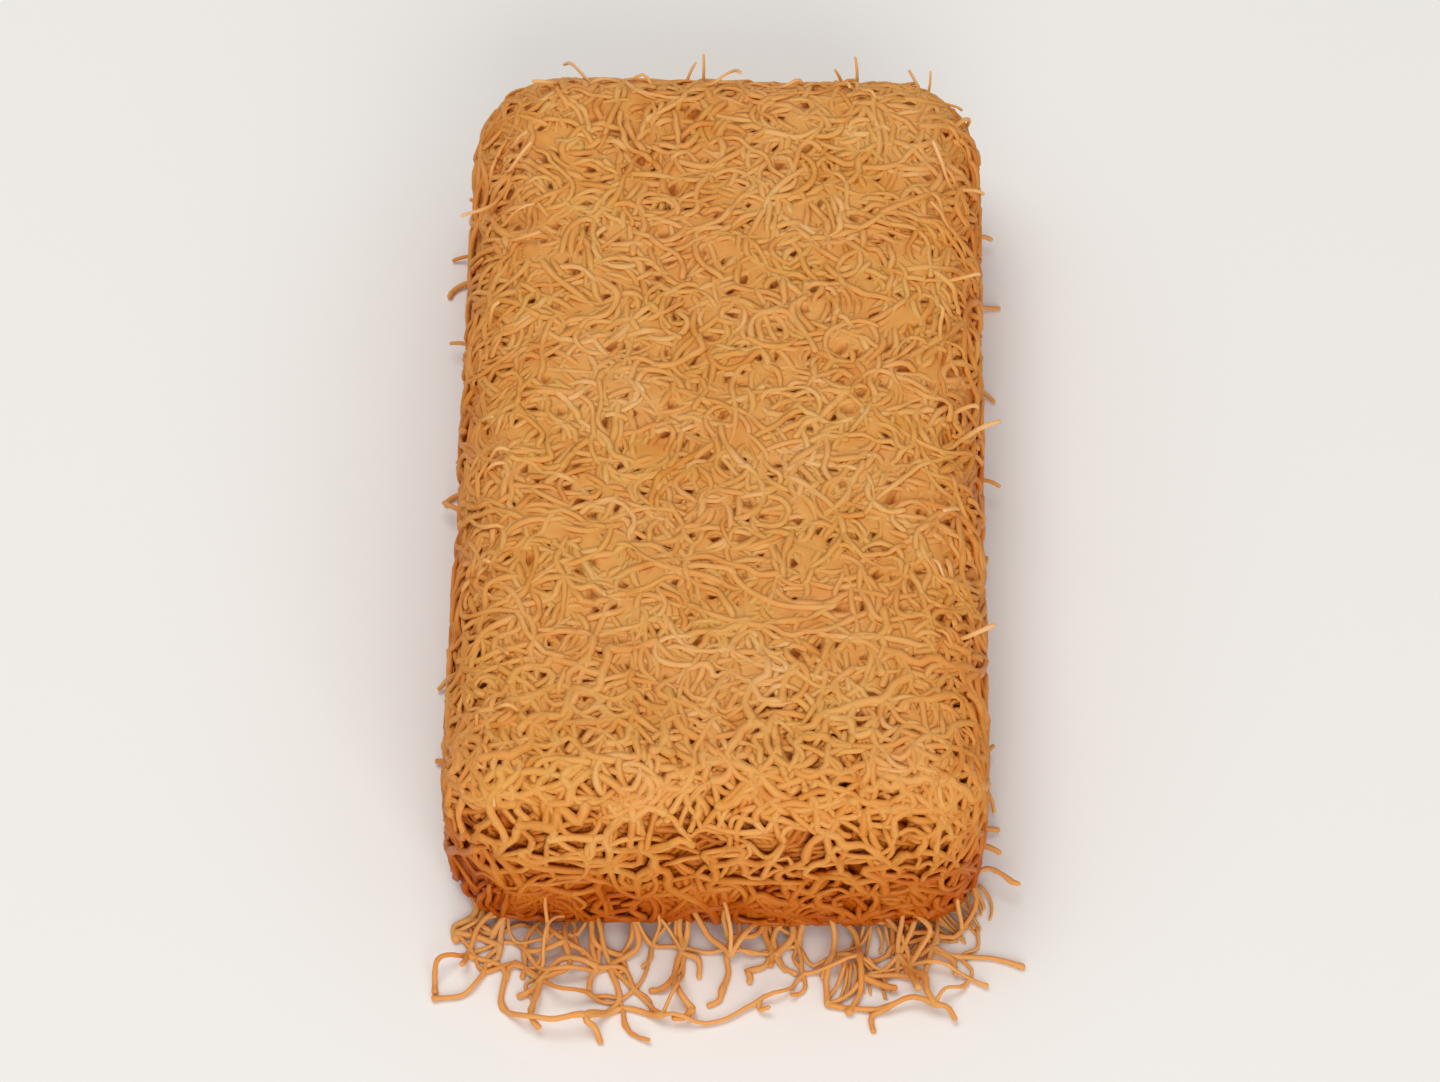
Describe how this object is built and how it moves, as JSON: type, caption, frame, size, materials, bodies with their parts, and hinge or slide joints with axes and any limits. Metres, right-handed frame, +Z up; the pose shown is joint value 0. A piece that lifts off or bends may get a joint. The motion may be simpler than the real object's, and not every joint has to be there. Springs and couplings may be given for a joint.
{
  "type": "kunafa piece",
  "caption": "Baked block of shredded kataifi pastry, pressed flat with rounded edges, a matted top of fine golden strands and a fringe of loose strands at its foot.",
  "frame": {"origin": "centre of the flat base of the pressed block, on what it stands on", "axes": "+Y along the block towards its back end, the fringe of loose strands at the front end, -Y; +X across it to the right as seen from the front; +Z up"},
  "size_m": [0.0705, 0.1241, 0.025],
  "materials": {
    "pastry": "baked golden-tan pastry strands, matt with a slight sheen of butter"
  },
  "bodies": {
    "root": {"kunafa": "pastry"}
  },
  "joints": []
}
